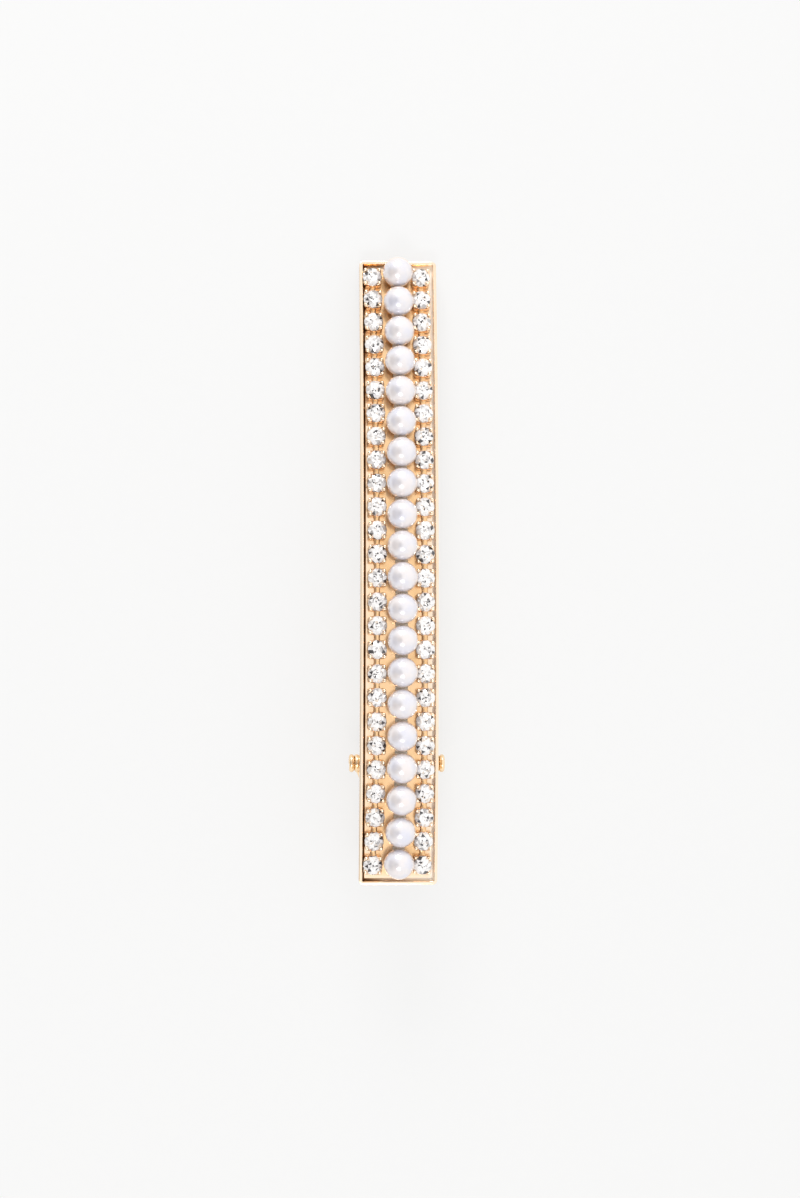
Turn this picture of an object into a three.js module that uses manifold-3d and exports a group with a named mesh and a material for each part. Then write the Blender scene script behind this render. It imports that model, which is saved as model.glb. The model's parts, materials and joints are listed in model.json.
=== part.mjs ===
/*
 * Barrette of the lever-clip kind: an arched, rimmed metal plate that carries a row of pearls
 * between two rows of rhinestone cup chain, on a sprung two-arm clip.
 *
 * Millimetres, +Z up. The plate's jaw tip points along +Y and its lever end along -Y. Sizes along
 * the plate are arc lengths s measured from its middle, and heights h are measured outwards from
 * the plate's underside, so onArch(s, h) is the one place where the arch is worked out.
 */
import * as THREE from 'three';
import { mergeVertices } from 'three/addons/utils/BufferGeometryUtils.js';
import Module from 'manifold-3d';

const wasm = await Module();
wasm.setup();

// Decorated plate; its width follows from the rows that it holds
const plateLength = 82;
const archRadius = 270;
const floorThickness = 0.5;
const rimThickness = 0.4;
const rimHeight = 0.85;
const cornerRadius = 0.6;

// Pearls, in one row down the middle; as many as fit
const pearlDiameter = 3.96;
const pearlGap = 0.02;
const pearlRimClearance = 0.06;
const pearlTailGap = 0.52;
const pearlRowOffset = 0.1;
const pearlDrift = 0.22;
const glueThickness = 0.34;
const glueUnderPearl = 0.1;
const glueWidth = 1.6;
const pearlFacets = [12, 8];

// Rhinestone cup chain, one row on each side of the pearls; as many cups as fit
const stoneDiameter = 2.3;
const cupWall = 0.07;
const cupSpacing = 0.64;
const cupHeight = 1.25;
const crownHeight = 0.5;
const tableDiameter = 1.3;
const linkWidth = 0.8;
const linkHeight = 0.35;
const chainEndGap = 0.78;
const rowGap = 0.065;
const sideMargin = 0.08;

// The rows are laid by hand: they bow to one side, slowly from the tip and quickly at the tail
const rowBow = 0.46;
const rowEndOffset = -0.25;
const bowPeak = -10;
const bowTipPower = 2;
const bowTailPower = 4;

// Clip arms
const upperArmThickness = 0.6;
const upperArmTipMargin = 2.5;
const upperArmTailMargin = 3.5;
const lowerArmThickness = 0.7;
const lowerArmWidth = 7.2;
const lowerArmTipMargin = 1.6;
const jawTipRadius = 2.6;
const tailTipRadius = 1.6;
const hairGap = 4.7;
const closedGap = 0.45;
const ribCount = 5;
const ribPitch = 2;
const ribHeight = 0.28;

// Hinge, lever and spring
const hingeFromTail = 15.4;
const pinDrop = 2.3;
const pinDiameter = 0.95;
const lugWall = 0.82;
const lugRootHalf = 2.1;
const lugThickness = 0.55;
const tailBendRadius = 10;
const tailBend = THREE.MathUtils.degToRad(16);
const tailReach = 14.6;
const wireDiameter = 0.66;
const coilGap = 0.04;
const coilTurns = 2.5;
const springLegReach = 6.4;

// Clearances
const solderGap = 0.04;
const seatGap = 0.04;
const lugGap = 0.1;
const pinClearance = 0.05;

// Values that follow from the sizes above
const halfLength = plateLength / 2;
const floorTop = floorThickness;
const rimTop = floorThickness + rimHeight;
const pearlRadius = pearlDiameter / 2;
const pearlSeat = floorTop + glueUnderPearl;
const pearlAxis = pearlSeat + pearlRadius;
const cupDiameter = stoneDiameter + 2 * cupWall;
const stonePitch = cupDiameter + cupSpacing;
const belowPearlAxis = Math.max(0, pearlAxis - floorTop - seatGap - cupHeight);
const pearlHalfAtCups = Math.sqrt(Math.max(0, pearlRadius ** 2 - belowPearlAxis ** 2));
const chainOffset = pearlHalfAtCups + rowGap + pearlRowOffset + cupDiameter / 2;
const rowReach = chainOffset + cupDiameter / 2 + Math.max(rowBow + rowEndOffset, -rowEndOffset);
const plateWidth = 2 * (rowReach + sideMargin + rimThickness);
const wireRadius = wireDiameter / 2;
const upperArmUnderside = solderGap + upperArmThickness;
const upperArmWidth = lowerArmWidth - 2 * (lugThickness + lugGap);
const hingeS = hingeFromTail - halfLength;
const pinDepth = upperArmUnderside + pinDrop;
const coilRadius = pinDiameter / 2 + pinClearance + wireRadius;
const coilInner = lowerArmWidth / 2 + lugGap + wireRadius;
const coilPitch = wireDiameter + coilGap;
const coilOuter = coilInner + coilTurns * coilPitch;
const lugRadius = pinDiameter / 2 + pinClearance + lugWall;
const jawTipS = halfLength - lowerArmTipMargin;

const GOLD = { color: 0xe2b486, roughness: 0.28, metalness: 1 };
const SPRING_STEEL = { color: 0xcfae84, roughness: 0.3, metalness: 1 };
const PEARL = { color: 0xefeaf0, roughness: 0.22, metalness: 0 };
const STONE = { color: 0xdfe2e8, roughness: 0.08, metalness: 0.2 };
const GLUE = { color: 0xe9dcc2, roughness: 0.5, metalness: 0 };

/** Point (y, z) of the side plane at arc length s and height h above the plate's underside. */
function onArch(s, h) {
  const angle = s / archRadius;
  const radius = archRadius + h;
  return new THREE.Vector2(radius * Math.sin(angle), radius * Math.cos(angle) - archRadius);
}

/** Evenly spaced values from start to end, both included. */
function spread(start, end, steps) {
  return Array.from({ length: steps + 1 }, (_, i) => start + ((end - start) * i) / steps);
}

/** Closed solid of a three.js geometry. */
function solid(geometry) {
  geometry.deleteAttribute('normal');
  geometry.deleteAttribute('uv');
  const merged = mergeVertices(geometry);
  const mesh = new wasm.Mesh({
    numProp: 3,
    vertProperties: merged.attributes.position.array,
    triVerts: Uint32Array.from(merged.index.array),
  });
  return new wasm.Manifold(mesh);
}

/** three.js geometry of a solid. */
function geometryOf(body) {
  const mesh = body.getMesh();
  const geometry = new THREE.BufferGeometry();
  geometry.setAttribute('position', new THREE.BufferAttribute(mesh.vertProperties, 3));
  geometry.setIndex(new THREE.BufferAttribute(mesh.triVerts, 1));
  geometry.computeVertexNormals();
  return geometry;
}

const sideToWorld = new THREE.Matrix4().makeBasis(
  new THREE.Vector3(0, 1, 0),
  new THREE.Vector3(0, 0, 1),
  new THREE.Vector3(1, 0, 0),
);

/** Outline drawn in the side plane, extruded along X to a width about centreX. */
function sideBar(outline, width, centreX = 0) {
  const geometry = new THREE.ExtrudeGeometry(new THREE.Shape(outline), {
    depth: width,
    bevelEnabled: false,
  });
  geometry.translate(0, 0, -width / 2);
  geometry.applyMatrix4(sideToWorld);
  geometry.translate(centreX, 0, 0);
  return solid(geometry);
}

/** Side outline of a band that follows the arch between two arc lengths and two heights. */
function archBand(sLow, sHigh, hLow, hHigh) {
  const steps = Math.max(2, Math.round((sHigh - sLow) / 2.6));
  const stations = spread(sLow, sHigh, steps);
  const lower = stations.map((s) => onArch(s, hLow));
  const upper = stations.map((s) => onArch(s, hHigh)).reverse();
  return [...lower, ...upper];
}

/** Upright prism over a rounded rectangle, for trimming a part to its outline seen from above. */
function planPrism(yLow, yHigh, width, radiusLow, radiusHigh) {
  const half = width / 2;
  const shape = new THREE.Shape();
  shape.moveTo(half, yLow + radiusLow);
  shape.lineTo(half, yHigh - radiusHigh);
  shape.absarc(half - radiusHigh, yHigh - radiusHigh, radiusHigh, 0, Math.PI / 2);
  shape.absarc(radiusHigh - half, yHigh - radiusHigh, radiusHigh, Math.PI / 2, Math.PI);
  shape.absarc(radiusLow - half, yLow + radiusLow, radiusLow, Math.PI, Math.PI * 1.5);
  shape.absarc(half - radiusLow, yLow + radiusLow, radiusLow, Math.PI * 1.5, Math.PI * 2);
  const reach = plateLength;
  const geometry = new THREE.ExtrudeGeometry(shape, {
    depth: 2 * reach,
    bevelEnabled: false,
    curveSegments: 6,
  });
  geometry.translate(0, 0, -reach);
  return solid(geometry);
}

/** Round bar along X through a point of the side plane. */
function crossBar(radius, length, centre, segments) {
  const geometry = new THREE.CylinderGeometry(radius, radius, length, segments);
  geometry.rotateZ(Math.PI / 2);
  geometry.translate(0, centre.x, centre.y);
  return solid(geometry);
}

/** Sideways place of the decoration rows at arc length s. */
function rowCentre(s) {
  const towardsTip = s > bowPeak;
  const reach = towardsTip ? halfLength - bowPeak : halfLength + bowPeak;
  const power = towardsTip ? bowTipPower : bowTailPower;
  return rowEndOffset + rowBow * (1 - (Math.abs(s - bowPeak) / reach) ** power);
}

/** Move a geometry whose axis is +Y to arc length s, height h and sideways place x on the arch. */
function standOnArch(geometry, s, h, x) {
  const place = onArch(s, h);
  geometry.rotateX(Math.PI / 2 - s / archRadius);
  geometry.translate(x, place.x, place.y);
  return geometry;
}

// Hinge frame in the side plane: the pin's centre, along the arch towards the tip, and outwards
const pinCentre = onArch(hingeS, -pinDepth);
const alongHinge = new THREE.Vector2(Math.cos(hingeS / archRadius), -Math.sin(hingeS / archRadius));
const outOfHinge = new THREE.Vector2(-alongHinge.y, alongHinge.x);

/** Point of the side plane given along and outwards from the hinge pin. */
function fromPin(along, out) {
  return pinCentre.clone().addScaledVector(alongHinge, along).addScaledVector(outOfHinge, out);
}

function decoTray() {
  const outer = sideBar(archBand(-halfLength, halfLength, 0, rimTop), plateWidth);
  const outerEnd = onArch(halfLength, rimTop).x;
  const outline = planPrism(-outerEnd, outerEnd, plateWidth, cornerRadius, cornerRadius);
  const pocketS = halfLength - rimThickness;
  const pocketWidth = plateWidth - 2 * rimThickness;
  const pocketTop = rimTop + rimHeight;
  const pocketBar = sideBar(archBand(-pocketS, pocketS, floorTop, pocketTop), pocketWidth);
  return outer.intersect(outline).subtract(pocketBar);
}

/** The pair of hinge lugs of one arm; side is +1 for lugs that rise to a strip and -1 to fall. */
function lugPair(side, rise, outerFace) {
  const round = spread(0, Math.PI, 12).map((angle) =>
    fromPin(lugRadius * Math.cos(angle), -side * lugRadius * Math.sin(angle)));
  const root = [fromPin(-lugRootHalf, side * rise), fromPin(lugRootHalf, side * rise)];
  const outline = side > 0 ? [...round, ...root].reverse() : [...round, ...root];
  const centre = outerFace - lugThickness / 2;
  return sideBar(outline, lugThickness, centre).add(sideBar(outline, lugThickness, -centre));
}

function pinHole() {
  const length = 2 * lowerArmWidth;
  return crossBar(pinDiameter / 2 + pinClearance, length, pinCentre, 24);
}

function upperArm() {
  const sLow = upperArmTailMargin - halfLength;
  const sHigh = halfLength - upperArmTipMargin;
  const band = sideBar(archBand(sLow, sHigh, -upperArmUnderside, -solderGap), upperArmWidth);
  const yLow = onArch(sLow, 0).x;
  const yHigh = onArch(sHigh, 0).x;
  const outline = planPrism(yLow, yHigh, upperArmWidth, tailTipRadius, jawTipRadius);
  const lugs = lugPair(1, pinDrop + upperArmThickness / 2, upperArmWidth / 2);
  return band.intersect(outline).add(lugs).subtract(pinHole());
}

/** Gap between the closed arms at arc length s of the jaw. */
function jawGap(s) {
  const fromHinge = (s - hingeS) / (jawTipS - hingeS);
  return closedGap + (hairGap - closedGap) * (1 - fromHinge ** 2);
}

/** Inner face of the lower arm in the side plane, from the jaw tip past the hinge to the tail. */
function lowerArmFace() {
  const jaw = spread(jawTipS, hingeS, 24).map((s) => onArch(s, -upperArmUnderside - jawGap(s)));
  const faceOut = pinDrop - hairGap;
  const bend = spread(0, tailBend, 5).slice(1).map((angle) =>
    fromPin(-tailBendRadius * Math.sin(angle), faceOut - tailBendRadius * (1 - Math.cos(angle))));
  const bendRun = tailBendRadius * Math.sin(tailBend);
  const bendDrop = tailBendRadius * (1 - Math.cos(tailBend));
  const tailRun = tailReach - bendRun;
  const tail = fromPin(-tailReach, faceOut - bendDrop - tailRun * Math.tan(tailBend));
  return [...jaw, ...bend, tail];
}

/** Points moved by a distance to the left of the way the line runs. */
function offsetLine(points, distance) {
  return points.map((point, i) => {
    const before = points[Math.max(i - 1, 0)];
    const after = points[Math.min(i + 1, points.length - 1)];
    const way = after.clone().sub(before).normalize();
    return new THREE.Vector2(point.x - distance * way.y, point.y + distance * way.x);
  });
}

const innerFace = lowerArmFace();
const outerFace = offsetLine(innerFace, lowerArmThickness);

function gripRib(index) {
  const s = jawTipS - ribPitch * (index + 1);
  const centre = onArch(s, -upperArmUnderside - jawGap(s));
  return crossBar(ribHeight, lowerArmWidth - 2 * jawTipRadius, centre, 12);
}

function lowerArm() {
  const bar = sideBar([...innerFace, ...outerFace.slice().reverse()], lowerArmWidth);
  const yHigh = innerFace[0].x;
  const yLow = innerFace[innerFace.length - 1].x;
  const outline = planPrism(yLow, yHigh, lowerArmWidth, tailTipRadius, jawTipRadius);
  const lugs = lugPair(-1, hairGap - pinDrop + lowerArmThickness / 2, lowerArmWidth / 2);
  let arm = bar.intersect(outline).add(lugs).subtract(pinHole());
  for (let index = 0; index < ribCount; index += 1) {
    arm = arm.add(gripRib(index));
  }
  return arm;
}

function hingePin() {
  return crossBar(pinDiameter / 2, 2 * (coilOuter + wireRadius), pinCentre, 16);
}

/** Height of the lower arm's inner face, outwards from the pin, at a place behind the bend. */
function tailFaceOut(along) {
  const straight = -along - tailBendRadius * Math.sin(tailBend);
  const drop = tailBendRadius * (1 - Math.cos(tailBend)) + straight * Math.tan(tailBend);
  return pinDrop - hairGap - drop;
}

/** Wire centre line of the spring's +X half, from the middle of its bridge to its hooked end. */
function springHalf() {
  const corner = 1.2 * wireDiameter;
  const archDrop = springLegReach ** 2 / (2 * archRadius);
  const bridgeOut = pinDrop - seatGap - wireRadius - archDrop;
  const hookOut = tailFaceOut(-springLegReach) + (seatGap + wireRadius) / Math.cos(tailBend);
  const place = (x, along, out) => {
    const side = fromPin(along, out);
    return new THREE.Vector3(x, side.x, side.y);
  };
  const bridge = [
    place(0, -springLegReach, bridgeOut),
    place((coilInner - corner) / 2, -springLegReach, bridgeOut),
    place(coilInner - corner, -springLegReach, bridgeOut),
    place(coilInner, corner - springLegReach, bridgeOut),
    place(coilInner, -2 * coilRadius, (bridgeOut + 2 * coilRadius) / 3),
  ];
  const pointsPerTurn = 12;
  const coil = spread(0, coilTurns, coilTurns * pointsPerTurn).map((turn) => {
    const angle = Math.PI / 2 - 2 * Math.PI * turn;
    const x = coilInner + coilPitch * turn;
    return place(x, coilRadius * Math.cos(angle), coilRadius * Math.sin(angle));
  });
  const leg = [
    place(coilOuter - wireRadius, -1.5 * coilRadius, -1.15 * coilRadius),
    place(coilInner, -springLegReach / 2, (hookOut - 1.15 * coilRadius) / 2),
    place(coilInner, corner - springLegReach, hookOut),
    place(coilInner - corner, -springLegReach, hookOut),
    place(lowerArmWidth / 5, -springLegReach, hookOut),
  ];
  return [...bridge, ...coil, ...leg];
}

function torsionSpring() {
  const right = springHalf();
  const left = right.slice(1).map((p) => new THREE.Vector3(-p.x, p.y, p.z));
  const path = new THREE.CatmullRomCurve3([...left.reverse(), ...right], false, 'centripetal');
  path.arcLengthDivisions = 1200;
  const section = new THREE.Shape();
  section.absarc(0, 0, wireRadius, 0, Math.PI * 2);
  const geometry = new THREE.ExtrudeGeometry(section, {
    steps: 124,
    curveSegments: 3,
    extrudePath: path,
    bevelEnabled: false,
  });
  return solid(geometry);
}

/** Places of the pearls along the arch; they stand a little closer together near the jaw tip. */
function pearlPlaces() {
  const overRim = pearlRadius + pearlRimClearance;
  const above = Math.max(0, pearlAxis - rimTop);
  const first = halfLength - rimThickness - Math.sqrt(overRim ** 2 - above ** 2);
  const last = rimThickness + pearlTailGap + pearlRadius - halfLength;
  const steps = Math.floor((first - last) / (pearlDiameter + pearlGap));
  const spare = (first - last) / steps - pearlDiameter - pearlGap;
  const drift = Math.min(pearlDrift, (spare * steps) / Math.PI);
  return spread(0, 1, steps).map((t) =>
    first + (last - first) * t + drift * Math.sin(Math.PI * t));
}

function pearl(s) {
  const geometry = new THREE.SphereGeometry(pearlRadius, ...pearlFacets);
  return standOnArch(geometry, s, pearlAxis, pearlRowOffset + rowCentre(s));
}

/** Bed of glue under the pearl row, with a socket for each pearl. */
function pearlGlue() {
  const places = pearlPlaces();
  const sHigh = places[0];
  const sLow = places[places.length - 1];
  const bed = new THREE.BoxGeometry(glueWidth, 1, 1, 1, 32, 1);
  const position = bed.attributes.position;
  for (let i = 0; i < position.count; i += 1) {
    const s = sLow + (sHigh - sLow) * (position.getY(i) + 0.5);
    const h = floorTop + seatGap + glueThickness * (position.getZ(i) + 0.5);
    const side = onArch(s, h);
    position.setXYZ(i, position.getX(i) + pearlRowOffset + rowCentre(s), side.x, side.y);
  }
  let body = solid(bed);
  for (const s of places) {
    const socket = new THREE.SphereGeometry(pearlRadius + seatGap, ...pearlFacets);
    const x = pearlRowOffset + rowCentre(s);
    body = body.subtract(solid(standOnArch(socket, s, pearlAxis, x)));
  }
  return body;
}

/** One cup with its stone, as a turned outline, standing at arc length s. */
function cupAndStone(s, x) {
  const outline = [
    new THREE.Vector2(0, 0),
    new THREE.Vector2(cupDiameter / 2, 0),
    new THREE.Vector2(cupDiameter / 2, cupHeight),
    new THREE.Vector2(tableDiameter / 2, cupHeight + crownHeight),
    new THREE.Vector2(0, cupHeight + crownHeight),
  ];
  const geometry = new THREE.LatheGeometry(outline, 8);
  return solid(standOnArch(geometry, s, floorTop + seatGap, x));
}

function rhinestoneChain(side) {
  const margin = rimThickness + cupDiameter / 2;
  const first = halfLength - margin - chainEndGap;
  const stones = 1 + Math.floor((first + halfLength - margin) / stonePitch);
  const offset = side * chainOffset;
  const pieces = [];
  for (let i = 0; i < stones; i += 1) {
    const s = first - i * stonePitch;
    pieces.push(cupAndStone(s, offset + rowCentre(s)));
    if (i > 0) {
      const middle = s + stonePitch / 2;
      const link = new THREE.BoxGeometry(linkWidth, linkHeight, stonePitch - stoneDiameter / 2);
      const h = floorTop + seatGap + linkHeight / 2;
      pieces.push(solid(standOnArch(link, middle, h, offset + rowCentre(middle))));
    }
  }
  return pieces.reduce((chain, piece) => chain.add(piece));
}

const clip = new THREE.Group();

function addPart(name, geometry, look) {
  const mesh = new THREE.Mesh(geometry, new THREE.MeshStandardMaterial(look));
  mesh.name = name;
  clip.add(mesh);
}

addPart('deco_tray', geometryOf(decoTray()), GOLD);
addPart('upper_arm', geometryOf(upperArm()), GOLD);
addPart('lower_arm', geometryOf(lowerArm()), GOLD);
addPart('hinge_pin', geometryOf(hingePin()), GOLD);
addPart('torsion_spring', geometryOf(torsionSpring()), SPRING_STEEL);
addPart('pearl_glue', geometryOf(pearlGlue()), GLUE);
addPart('rhinestone_chain_left', geometryOf(rhinestoneChain(-1)), STONE);
addPart('rhinestone_chain_right', geometryOf(rhinestoneChain(1)), STONE);
pearlPlaces().forEach((s, i) => {
  addPart(`pearl_${String(i + 1).padStart(2, '0')}`, pearl(s), PEARL);
});

// The clip rests on its jaw tip and on the end of its lever, which sets its tilt
const tipFoot = outerFace[0];
const tailFoot = outerFace[outerFace.length - 1];
clip.rotation.x = -Math.atan2(tipFoot.y - tailFoot.y, tipFoot.x - tailFoot.x);

// Origin under the middle of the whole object, on the surface it rests on
clip.updateMatrixWorld(true);
const bounds = new THREE.Box3().setFromObject(clip, true);
const middle = bounds.getCenter(new THREE.Vector3());
clip.position.set(-middle.x, -middle.y, -bounds.min.z);

const group = new THREE.Group();
group.add(clip);

export default group;
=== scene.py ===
"""Looks of the pearl and rhinestone barrette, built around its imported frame.

All sizes are in metres unless a name says otherwise. Places on the plate are given as an arc
length s from the plate's middle, positive towards the jaw tip, and a height h above the plate's
underside, as in the part itself.
"""

import json
import logging
import math
from dataclasses import dataclass
from enum import Enum
from typing import Any, Iterable, Sequence

import bmesh
import bpy
from mathutils import Euler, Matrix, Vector
from mathutils.noise import noise
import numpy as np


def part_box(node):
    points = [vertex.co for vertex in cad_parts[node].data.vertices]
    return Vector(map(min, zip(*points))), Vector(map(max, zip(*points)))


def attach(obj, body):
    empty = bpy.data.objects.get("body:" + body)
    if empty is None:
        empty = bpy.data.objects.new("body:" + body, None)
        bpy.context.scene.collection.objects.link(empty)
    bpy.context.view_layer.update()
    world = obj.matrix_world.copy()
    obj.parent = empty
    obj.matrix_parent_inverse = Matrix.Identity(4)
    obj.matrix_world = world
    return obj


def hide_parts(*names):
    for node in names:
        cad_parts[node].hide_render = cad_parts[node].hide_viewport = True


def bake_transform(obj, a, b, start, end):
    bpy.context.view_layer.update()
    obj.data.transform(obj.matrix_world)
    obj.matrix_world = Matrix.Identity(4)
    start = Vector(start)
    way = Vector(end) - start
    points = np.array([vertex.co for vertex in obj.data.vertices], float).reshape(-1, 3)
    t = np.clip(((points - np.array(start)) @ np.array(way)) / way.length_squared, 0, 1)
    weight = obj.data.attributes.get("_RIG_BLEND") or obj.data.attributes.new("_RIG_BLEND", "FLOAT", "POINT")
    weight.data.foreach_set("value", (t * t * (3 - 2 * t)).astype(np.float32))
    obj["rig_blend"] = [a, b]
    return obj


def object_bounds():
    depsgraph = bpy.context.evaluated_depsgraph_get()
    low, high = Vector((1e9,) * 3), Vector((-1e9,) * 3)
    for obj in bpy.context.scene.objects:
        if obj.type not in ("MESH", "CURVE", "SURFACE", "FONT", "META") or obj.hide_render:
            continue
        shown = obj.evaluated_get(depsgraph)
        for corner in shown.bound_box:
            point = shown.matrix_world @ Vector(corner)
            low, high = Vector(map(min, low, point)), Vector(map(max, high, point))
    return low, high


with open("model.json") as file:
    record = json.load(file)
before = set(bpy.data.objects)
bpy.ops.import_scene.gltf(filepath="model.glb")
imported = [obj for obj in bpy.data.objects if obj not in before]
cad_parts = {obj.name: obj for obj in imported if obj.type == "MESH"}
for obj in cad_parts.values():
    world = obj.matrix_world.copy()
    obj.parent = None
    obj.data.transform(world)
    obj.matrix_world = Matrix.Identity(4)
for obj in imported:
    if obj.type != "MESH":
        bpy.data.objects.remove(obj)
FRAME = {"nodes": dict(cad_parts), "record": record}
CAD_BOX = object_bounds()

LOG = logging.getLogger("barrette")
MM = 0.001
PEARL_AXIS = 2.58 * MM
HINGE_S = -25.6 * MM
FACETED = 0.1
ROUND = 180.0

Point = Sequence[float]
Ring = list[Vector]


class Body(Enum):
    """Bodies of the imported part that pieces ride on."""

    PLATE = "plate"
    JAW = "jaw"


class Slot(Enum):
    """Material slots of the record."""

    GOLD = "gold_plate"
    SPRING = "spring_wire"
    STONE = "rhinestone"
    PEARL = "pearl"
    GLUE = "clear_glue"


class Side(Enum):
    """The two rows of cup chain, by the side of the pearls that they lie on."""

    LEFT = -1
    RIGHT = 1


# ---------------------------------------------------------------------------
# Shader expressions
# ---------------------------------------------------------------------------


class Signal:
    """A shader socket that can be used in arithmetic."""

    def __init__(self, shader: "Shader", socket: bpy.types.NodeSocket) -> None:
        """Wrap a socket.

        Args:
            shader: The shader that owns the socket's node.
            socket: The output socket.
        """
        self.shader = shader
        self.socket = socket

    def _math(self, operation: str, first: Any, second: Any) -> "Signal":
        """Add one Math node and return its result."""
        return self.shader.node("ShaderNodeMath", {"operation": operation}, {0: first, 1: second})

    def __add__(self, other: Any) -> "Signal":
        """Sum."""
        return self._math("ADD", self, other)

    def __radd__(self, other: Any) -> "Signal":
        """Reflected sum."""
        return self._math("ADD", other, self)

    def __sub__(self, other: Any) -> "Signal":
        """Difference."""
        return self._math("SUBTRACT", self, other)

    def __rsub__(self, other: Any) -> "Signal":
        """Reflected difference."""
        return self._math("SUBTRACT", other, self)

    def __mul__(self, other: Any) -> "Signal":
        """Product."""
        return self._math("MULTIPLY", self, other)

    def __rmul__(self, other: Any) -> "Signal":
        """Reflected product."""
        return self._math("MULTIPLY", other, self)

    def __gt__(self, other: Any) -> "Signal":
        """One where this signal is above the other, zero elsewhere."""
        return self._math("GREATER_THAN", self, other)


class Shader:
    """Node material or world built from Python expressions."""

    def __init__(self, owner: bpy.types.Material | bpy.types.World) -> None:
        """Start with an empty tree.

        Args:
            owner: The new material or world whose nodes are written.
        """
        self.owner = owner
        self.owner.use_nodes = True
        self.tree = owner.node_tree
        self.tree.nodes.clear()

    @classmethod
    def material(cls, name: str) -> "Shader":
        """Start a new material."""
        return cls(bpy.data.materials.new(name))

    def node(
        self,
        kind: str,
        settings: dict[str, Any] | None = None,
        inputs: dict[Any, Any] | None = None,
        output: int | str = 0,
    ) -> Signal:
        """Add a node.

        Args:
            kind: The node's type.
            settings: Properties of the node; "stops" fills a colour ramp, "steps" one without
                blending.
            inputs: Values or signals of its sockets, by name or number.
            output: The output to return.

        Returns:
            The chosen output as a signal.
        """
        made = self.tree.nodes.new(kind)
        for key, value in (settings or {}).items():
            if key == "stops":
                self._fill_ramp(made.color_ramp, value)
            elif key == "steps":
                made.color_ramp.interpolation = "CONSTANT"
                self._fill_ramp(made.color_ramp, value)
            else:
                setattr(made, key, value)
        for key, value in (inputs or {}).items():
            if isinstance(value, Signal):
                self.tree.links.new(value.socket, made.inputs[key])
            else:
                made.inputs[key].default_value = value
        return Signal(self, made.outputs[output])

    @staticmethod
    def _fill_ramp(ramp: bpy.types.ColorRamp, stops: Sequence[tuple[float, Point]]) -> None:
        """Write the stops of a colour ramp.

        Args:
            ramp: The ramp.
            stops: Position and colour of each stop.
        """
        while len(ramp.elements) < len(stops):
            ramp.elements.new(1.0)
        for element, (position, color) in zip(ramp.elements, stops):
            element.position = position
            element.color = (*color, 1.0)

    def place(self) -> Signal:
        """Object coordinates."""
        return self.node("ShaderNodeTexCoord", output="Object")

    def stored(self, name: str) -> Signal:
        """Value that the mesh stores under a name, or zero where it stores none."""
        settings = {"attribute_type": "GEOMETRY", "attribute_name": name}
        return self.node("ShaderNodeAttribute", settings, None, "Fac")

    def noise(self, per_metre: float, detail: float = 3.0, rough: float = 0.55) -> Signal:
        """Noise over the object.

        Args:
            per_metre: Scale of the noise.
            detail: Octaves.
            rough: Strength of the fine octaves.

        Returns:
            A signal from 0 to 1.
        """
        inputs = {"Vector": self.place(), "Scale": per_metre, "Detail": detail, "Roughness": rough}
        return self.node("ShaderNodeTexNoise", None, inputs, "Fac")

    def ramp(self, factor: Signal, stops: Sequence[tuple[float, Point]]) -> Signal:
        """Colour ramp of a signal, with a position and a colour for each stop."""
        return self.node("ShaderNodeValToRGB", {"stops": stops}, {"Fac": factor})

    def mix(self, factor: Any, first: Any, second: Any) -> Signal:
        """Mix two colours.

        Args:
            factor: Share of the second one.
            first: A colour or a signal.
            second: A colour or a signal.

        Returns:
            The mixed colour.
        """
        first = first if isinstance(first, Signal) else (*first, 1.0)
        second = second if isinstance(second, Signal) else (*second, 1.0)
        settings = {"data_type": "RGBA"}
        return self.node("ShaderNodeMix", settings, {0: factor, 6: first, 7: second}, 2)

    def bump(self, height: Signal, depth: float) -> Signal:
        """Bump of a height signal, with its depth in metres."""
        inputs = {"Strength": 1.0, "Distance": depth, "Height": height}
        return self.node("ShaderNodeBump", None, inputs)

    def finish(self, **inputs: Any) -> bpy.types.Material:
        """Close the material with one Principled shader.

        Args:
            inputs: Sockets of the shader, with spaces written as underscores.

        Returns:
            The material.
        """
        named = {key.replace("_", " "): value for key, value in inputs.items()}
        surface = self.node("ShaderNodeBsdfPrincipled", None, named)
        self._close("ShaderNodeOutputMaterial", surface)
        return self.owner

    def surround(self, tone: Signal, strength: float) -> bpy.types.World:
        """Close the world with one background of a tone.

        Args:
            tone: Colour of the surround.
            strength: Its brightness.

        Returns:
            The world.
        """
        inputs = {"Color": tone, "Strength": strength}
        self._close("ShaderNodeOutputWorld", self.node("ShaderNodeBackground", None, inputs))
        return self.owner

    def _close(self, kind: str, surface: Signal) -> None:
        """Connect a surface to an output node."""
        output = self.tree.nodes.new(kind)
        self.tree.links.new(surface.socket, output.inputs["Surface"])


# ---------------------------------------------------------------------------
# Finishes
# ---------------------------------------------------------------------------


BLACK: Point = (0.0, 0.0, 0.0)
WHITE: Point = (1.0, 1.0, 1.0)


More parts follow.
